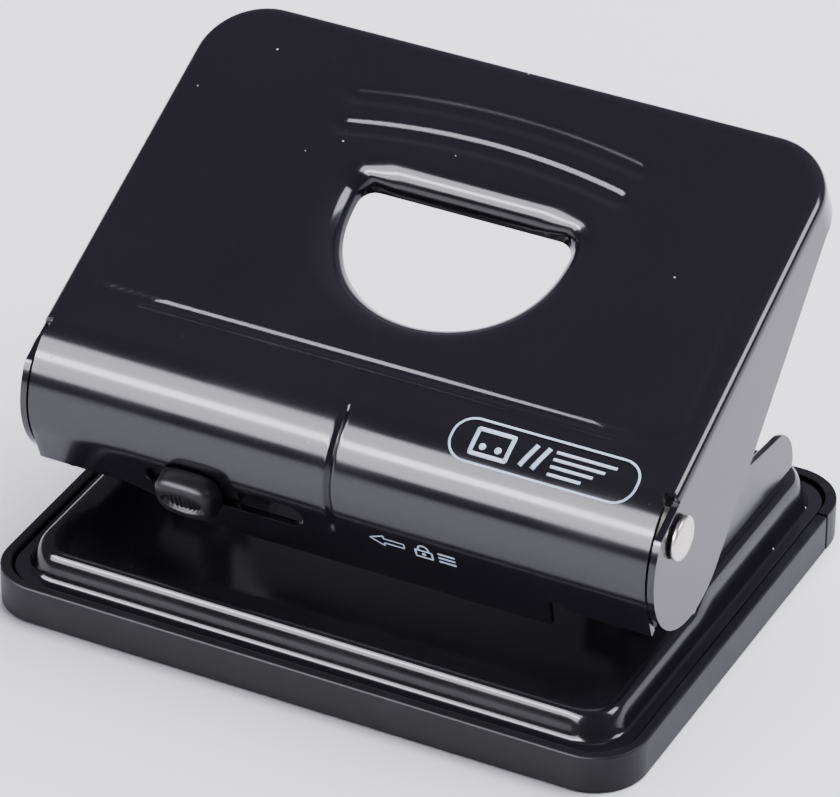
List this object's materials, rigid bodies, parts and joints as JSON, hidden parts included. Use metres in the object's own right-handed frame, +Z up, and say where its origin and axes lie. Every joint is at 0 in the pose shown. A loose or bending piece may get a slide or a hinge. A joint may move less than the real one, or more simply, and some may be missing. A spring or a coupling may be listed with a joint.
{
  "type": "two-hole desk punch",
  "caption": "Desk punch with a pressed steel lever handle, a bent frame, sprung pins, a sliding lock and a hinged plastic chip tray.",
  "frame": {"origin": "middle of the tray's footprint, on the table", "axes": "+X to the right-hand pivot pin along the two holes, -Y to the paper side (front), +Z up"},
  "size_m": [0.1206, 0.093, 0.0767],
  "materials": {
    "black_gloss_paint": "glossy black stoving enamel on pressed steel",
    "black_tray_plastic": "satin moulded plastic",
    "black_grip_plastic": "fine-grained matte plastic",
    "nickel_plate": "nickel plated, lightly worn",
    "white_nylon": "natural nylon",
    "spring_steel": "drawn spring steel",
    "hardened_steel": "ground hardened steel",
    "zinc_plated_steel": "bright zinc plate"
  },
  "bodies": {
    "base": {"base_plate": "black_gloss_paint", "punch_frame": "black_gloss_paint", "tray_rear_rail": "black_tray_plastic", "guide_bridge_left": "zinc_plated_steel", "guide_bridge_right": "zinc_plated_steel", "pivot_pin_left": "nickel_plate", "pivot_pin_right": "nickel_plate", "pivot_spacer_left": "white_nylon", "pivot_spacer_right": "white_nylon", "frame_rivet_1": "zinc_plated_steel", "frame_rivet_2": "zinc_plated_steel", "frame_rivet_3": "zinc_plated_steel", "frame_rivet_4": "zinc_plated_steel", "guide_rivet_1": "zinc_plated_steel", "guide_rivet_2": "zinc_plated_steel", "guide_rivet_3": "zinc_plated_steel", "guide_rivet_4": "zinc_plated_steel"},
    "handle": {"handle_shell": "black_gloss_paint", "drive_bracket_left": "zinc_plated_steel", "drive_bracket_right": "zinc_plated_steel"},
    "lock_slider": {"lock_button": "black_grip_plastic", "lock_bar": "zinc_plated_steel"},
    "punch_left": {"punch_pin_left": "hardened_steel", "pin_clip_left": "spring_steel", "pin_spring_left": "spring_steel"},
    "punch_right": {"punch_pin_right": "hardened_steel", "pin_clip_right": "spring_steel", "pin_spring_right": "spring_steel"},
    "chip_tray": {"chip_tray": "black_tray_plastic"}
  },
  "joints": [
    {"name": "handle_press", "type": "hinge", "parent": "base", "child": "handle", "pos_m": [0, -0.0246, 0.0389], "axis": [-1, 0, 0], "range_deg": [0, 16], "stiffness_Nm_per_rad": 0.9, "springref_deg": -20.05},
    {"name": "lock_slide", "type": "slide", "parent": "handle", "child": "lock_slider", "axis": [1, 0, 0], "range_m": [-0.0015, 0.016]},
    {"name": "punch_left_slide", "type": "slide", "parent": "base", "child": "punch_left", "axis": [0, 0, -1], "range_m": [0, 0.008], "deforming": ["pin_spring_left"]},
    {"name": "punch_right_slide", "type": "slide", "parent": "base", "child": "punch_right", "axis": [0, 0, -1], "range_m": [0, 0.008], "deforming": ["pin_spring_right"]},
    {"name": "tray_hinge", "type": "hinge", "parent": "base", "child": "chip_tray", "pos_m": [0, 0.035, 0], "axis": [1, 0, 0], "range_deg": [0, 100]}
  ],
  "couplings": [
    {"joint": "punch_left_slide", "follows": "handle_press", "m_per_rad": 0.0282},
    {"joint": "punch_right_slide", "follows": "handle_press", "m_per_rad": 0.0282}
  ]
}
